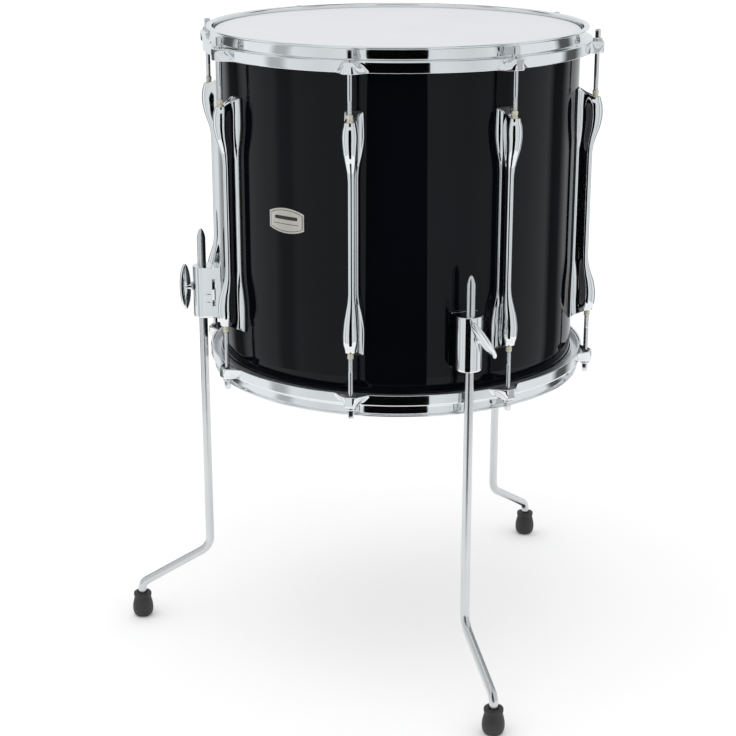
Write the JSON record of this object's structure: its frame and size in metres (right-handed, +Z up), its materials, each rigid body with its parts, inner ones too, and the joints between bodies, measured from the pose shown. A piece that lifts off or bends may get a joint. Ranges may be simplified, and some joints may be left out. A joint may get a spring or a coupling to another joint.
{
  "type": "floor tom drum",
  "caption": "Floor tom: two-headed drum with chrome hoops, double-ended lugs and tension rods, standing on three height-adjustable bent legs with rubber feet.",
  "frame": {"origin": "on the drum axis at floor level, in the plane of the three feet", "axes": "+Z up along the drum axis; -Y is the front, where the camera stands; the badge and the front leg are on that side"},
  "size_m": [0.5499, 0.5719, 0.723],
  "materials": {
    "shell_lacquer": "black gloss lacquer outside, clear satin birch inside",
    "coated_film": "fine sprayed white coating",
    "clear_film": "smooth clear film",
    "flesh_hoop_aluminium": "mill finish",
    "hoop_chrome": "bright chrome plate",
    "casting_chrome": "bright chrome plate",
    "rod_chrome": "bright chrome plate",
    "screw_steel": "zinc plate",
    "insert_brass": "pale, dull",
    "gasket_rubber": "matte",
    "foot_rubber": "satin moulded",
    "badge_nickel": "brushed nickel, faintly warm"
  },
  "bodies": {
    "drum_body": {"shell": "shell_lacquer", "lug_1": "casting_chrome", "lug_2": "casting_chrome", "lug_3": "casting_chrome", "lug_4": "casting_chrome", "lug_5": "casting_chrome", "lug_6": "casting_chrome", "lug_7": "casting_chrome", "lug_8": "casting_chrome", "lug_gaskets": "gasket_rubber", "lug_inserts": "insert_brass", "lug_screws": "screw_steel", "lug_screw_washers": "screw_steel", "leg_bracket_left": "casting_chrome", "leg_bracket_front": "casting_chrome", "leg_bracket_back": "casting_chrome", "bracket_gaskets": "gasket_rubber", "bracket_screws": "screw_steel", "bracket_screw_washers": "screw_steel", "wing_washers": "rod_chrome", "badge": "badge_nickel", "vent_grommet": "rod_chrome"},
    "batter_head": {"batter_hoop": "hoop_chrome", "batter_head_film": "coated_film", "batter_flesh_hoop": "flesh_hoop_aluminium", "batter_rod_washers": "rod_chrome"},
    "resonant_head": {"resonant_hoop": "hoop_chrome", "resonant_head_film": "clear_film", "resonant_flesh_hoop": "flesh_hoop_aluminium", "resonant_rod_washers": "rod_chrome"},
    "batter_rod_1": {"batter_rod_1": "rod_chrome"},
    "batter_rod_2": {"batter_rod_2": "rod_chrome"},
    "batter_rod_3": {"batter_rod_3": "rod_chrome"},
    "batter_rod_4": {"batter_rod_4": "rod_chrome"},
    "batter_rod_5": {"batter_rod_5": "rod_chrome"},
    "batter_rod_6": {"batter_rod_6": "rod_chrome"},
    "batter_rod_7": {"batter_rod_7": "rod_chrome"},
    "batter_rod_8": {"batter_rod_8": "rod_chrome"},
    "resonant_rod_1": {"resonant_rod_1": "rod_chrome"},
    "resonant_rod_2": {"resonant_rod_2": "rod_chrome"},
    "resonant_rod_3": {"resonant_rod_3": "rod_chrome"},
    "resonant_rod_4": {"resonant_rod_4": "rod_chrome"},
    "resonant_rod_5": {"resonant_rod_5": "rod_chrome"},
    "resonant_rod_6": {"resonant_rod_6": "rod_chrome"},
    "resonant_rod_7": {"resonant_rod_7": "rod_chrome"},
    "resonant_rod_8": {"resonant_rod_8": "rod_chrome"},
    "wing_nut_left": {"wing_nut_left": "rod_chrome"},
    "eye_bolt_left": {"eye_bolt_left": "rod_chrome"},
    "leg_left": {"leg_left": "rod_chrome", "foot_left": "foot_rubber"},
    "wing_nut_front": {"wing_nut_front": "rod_chrome"},
    "eye_bolt_front": {"eye_bolt_front": "rod_chrome"},
    "leg_front": {"leg_front": "rod_chrome", "foot_front": "foot_rubber"},
    "wing_nut_back": {"wing_nut_back": "rod_chrome"},
    "eye_bolt_back": {"eye_bolt_back": "rod_chrome"},
    "leg_back": {"leg_back": "rod_chrome", "foot_back": "foot_rubber"}
  },
  "joints": [
    {"name": "batter_hoop_release", "type": "slide", "parent": "drum_body", "child": "batter_head", "axis": [0, 0, 1], "range_m": [0, 0.0127]},
    {"name": "batter_rod_1_turn", "type": "hinge", "parent": "batter_head", "child": "batter_rod_1", "pos_m": [-0.04763, -0.21755, 0.718], "axis": [0, 0, 1], "range_deg": [0, 4320.7]},
    {"name": "batter_rod_2_turn", "type": "hinge", "parent": "batter_head", "child": "batter_rod_2", "pos_m": [0.12015, -0.18751, 0.718], "axis": [0, 0, 1], "range_deg": [0, 4320.7]},
    {"name": "batter_rod_3_turn", "type": "hinge", "parent": "batter_head", "child": "batter_rod_3", "pos_m": [0.21755, -0.04763, 0.718], "axis": [0, 0, 1], "range_deg": [0, 4320.7]},
    {"name": "batter_rod_4_turn", "type": "hinge", "parent": "batter_head", "child": "batter_rod_4", "pos_m": [0.18751, 0.12015, 0.718], "axis": [0, 0, 1], "range_deg": [0, 4320.7]},
    {"name": "batter_rod_5_turn", "type": "hinge", "parent": "batter_head", "child": "batter_rod_5", "pos_m": [0.04763, 0.21755, 0.718], "axis": [0, 0, 1], "range_deg": [0, 4320.7]},
    {"name": "batter_rod_6_turn", "type": "hinge", "parent": "batter_head", "child": "batter_rod_6", "pos_m": [-0.12015, 0.18751, 0.718], "axis": [0, 0, 1], "range_deg": [0, 4320.7]},
    {"name": "batter_rod_7_turn", "type": "hinge", "parent": "batter_head", "child": "batter_rod_7", "pos_m": [-0.21755, 0.04763, 0.718], "axis": [0, 0, 1], "range_deg": [0, 4320.7]},
    {"name": "batter_rod_8_turn", "type": "hinge", "parent": "batter_head", "child": "batter_rod_8", "pos_m": [-0.18751, -0.12015, 0.718], "axis": [0, 0, 1], "range_deg": [0, 4320.7]},
    {"name": "resonant_hoop_release", "type": "slide", "parent": "drum_body", "child": "resonant_head", "axis": [0, 0, -1], "range_m": [0, 0.0127]},
    {"name": "resonant_rod_1_turn", "type": "hinge", "parent": "resonant_head", "child": "resonant_rod_1", "pos_m": [-0.04763, -0.21755, 0.337], "axis": [0, 0, -1], "range_deg": [0, 4320.7]},
    {"name": "resonant_rod_2_turn", "type": "hinge", "parent": "resonant_head", "child": "resonant_rod_2", "pos_m": [0.12015, -0.18751, 0.337], "axis": [0, 0, -1], "range_deg": [0, 4320.7]},
    {"name": "resonant_rod_3_turn", "type": "hinge", "parent": "resonant_head", "child": "resonant_rod_3", "pos_m": [0.21755, -0.04763, 0.337], "axis": [0, 0, -1], "range_deg": [0, 4320.7]},
    {"name": "resonant_rod_4_turn", "type": "hinge", "parent": "resonant_head", "child": "resonant_rod_4", "pos_m": [0.18751, 0.12015, 0.337], "axis": [0, 0, -1], "range_deg": [0, 4320.7]},
    {"name": "resonant_rod_5_turn", "type": "hinge", "parent": "resonant_head", "child": "resonant_rod_5", "pos_m": [0.04763, 0.21755, 0.337], "axis": [0, 0, -1], "range_deg": [0, 4320.7]},
    {"name": "resonant_rod_6_turn", "type": "hinge", "parent": "resonant_head", "child": "resonant_rod_6", "pos_m": [-0.12015, 0.18751, 0.337], "axis": [0, 0, -1], "range_deg": [0, 4320.7]},
    {"name": "resonant_rod_7_turn", "type": "hinge", "parent": "resonant_head", "child": "resonant_rod_7", "pos_m": [-0.21755, 0.04763, 0.337], "axis": [0, 0, -1], "range_deg": [0, 4320.7]},
    {"name": "resonant_rod_8_turn", "type": "hinge", "parent": "resonant_head", "child": "resonant_rod_8", "pos_m": [-0.18751, -0.12015, 0.337], "axis": [0, 0, -1], "range_deg": [0, 4320.7]},
    {"name": "wing_nut_left_turn", "type": "hinge", "parent": "drum_body", "child": "wing_nut_left", "pos_m": [-0.2222, -0.0066, 0.422], "axis": [-0.9291, -0.3697, 0], "range_deg": [0, 270]},
    {"name": "eye_bolt_left_slide", "type": "slide", "parent": "drum_body", "child": "eye_bolt_left", "axis": [0.9291, 0.3697, 0], "range_m": [0, 0.000751]},
    {"name": "leg_left_height", "type": "slide", "parent": "drum_body", "child": "leg_left", "axis": [0, 0, 1], "range_m": [-0.035, 0.15]},
    {"name": "wing_nut_front_turn", "type": "hinge", "parent": "drum_body", "child": "wing_nut_front", "pos_m": [0.0764, -0.20876, 0.422], "axis": [0.6441, -0.7649, 0], "range_deg": [0, 270]},
    {"name": "eye_bolt_front_slide", "type": "slide", "parent": "drum_body", "child": "eye_bolt_front", "axis": [-0.6441, 0.7649, 0], "range_m": [0, 0.000751]},
    {"name": "leg_front_height", "type": "slide", "parent": "drum_body", "child": "leg_front", "axis": [0, 0, 1], "range_m": [-0.035, 0.15]},
    {"name": "wing_nut_back_turn", "type": "hinge", "parent": "drum_body", "child": "wing_nut_back", "pos_m": [0.12751, 0.1821, 0.422], "axis": [0.2588, 0.9659, 0], "range_deg": [0, 270]},
    {"name": "eye_bolt_back_slide", "type": "slide", "parent": "drum_body", "child": "eye_bolt_back", "axis": [-0.2588, -0.9659, 0], "range_m": [0, 0.000751]},
    {"name": "leg_back_height", "type": "slide", "parent": "drum_body", "child": "leg_back", "axis": [0, 0, 1], "range_m": [-0.035, 0.15]}
  ],
  "couplings": [
    {"joint": "batter_rod_1_turn", "follows": "batter_hoop_release", "rad_per_m": 5936.9},
    {"joint": "batter_rod_2_turn", "follows": "batter_hoop_release", "rad_per_m": 5936.9},
    {"joint": "batter_rod_3_turn", "follows": "batter_hoop_release", "rad_per_m": 5936.9},
    {"joint": "batter_rod_4_turn", "follows": "batter_hoop_release", "rad_per_m": 5936.9},
    {"joint": "batter_rod_5_turn", "follows": "batter_hoop_release", "rad_per_m": 5936.9},
    {"joint": "batter_rod_6_turn", "follows": "batter_hoop_release", "rad_per_m": 5936.9},
    {"joint": "batter_rod_7_turn", "follows": "batter_hoop_release", "rad_per_m": 5936.9},
    {"joint": "batter_rod_8_turn", "follows": "batter_hoop_release", "rad_per_m": 5936.9},
    {"joint": "resonant_rod_1_turn", "follows": "resonant_hoop_release", "rad_per_m": 5936.9},
    {"joint": "resonant_rod_2_turn", "follows": "resonant_hoop_release", "rad_per_m": 5936.9},
    {"joint": "resonant_rod_3_turn", "follows": "resonant_hoop_release", "rad_per_m": 5936.9},
    {"joint": "resonant_rod_4_turn", "follows": "resonant_hoop_release", "rad_per_m": 5936.9},
    {"joint": "resonant_rod_5_turn", "follows": "resonant_hoop_release", "rad_per_m": 5936.9},
    {"joint": "resonant_rod_6_turn", "follows": "resonant_hoop_release", "rad_per_m": 5936.9},
    {"joint": "resonant_rod_7_turn", "follows": "resonant_hoop_release", "rad_per_m": 5936.9},
    {"joint": "resonant_rod_8_turn", "follows": "resonant_hoop_release", "rad_per_m": 5936.9},
    {"joint": "eye_bolt_left_slide", "follows": "wing_nut_left_turn", "m_per_rad": 0.00015915},
    {"joint": "eye_bolt_front_slide", "follows": "wing_nut_front_turn", "m_per_rad": 0.00015915},
    {"joint": "eye_bolt_back_slide", "follows": "wing_nut_back_turn", "m_per_rad": 0.00015915}
  ]
}
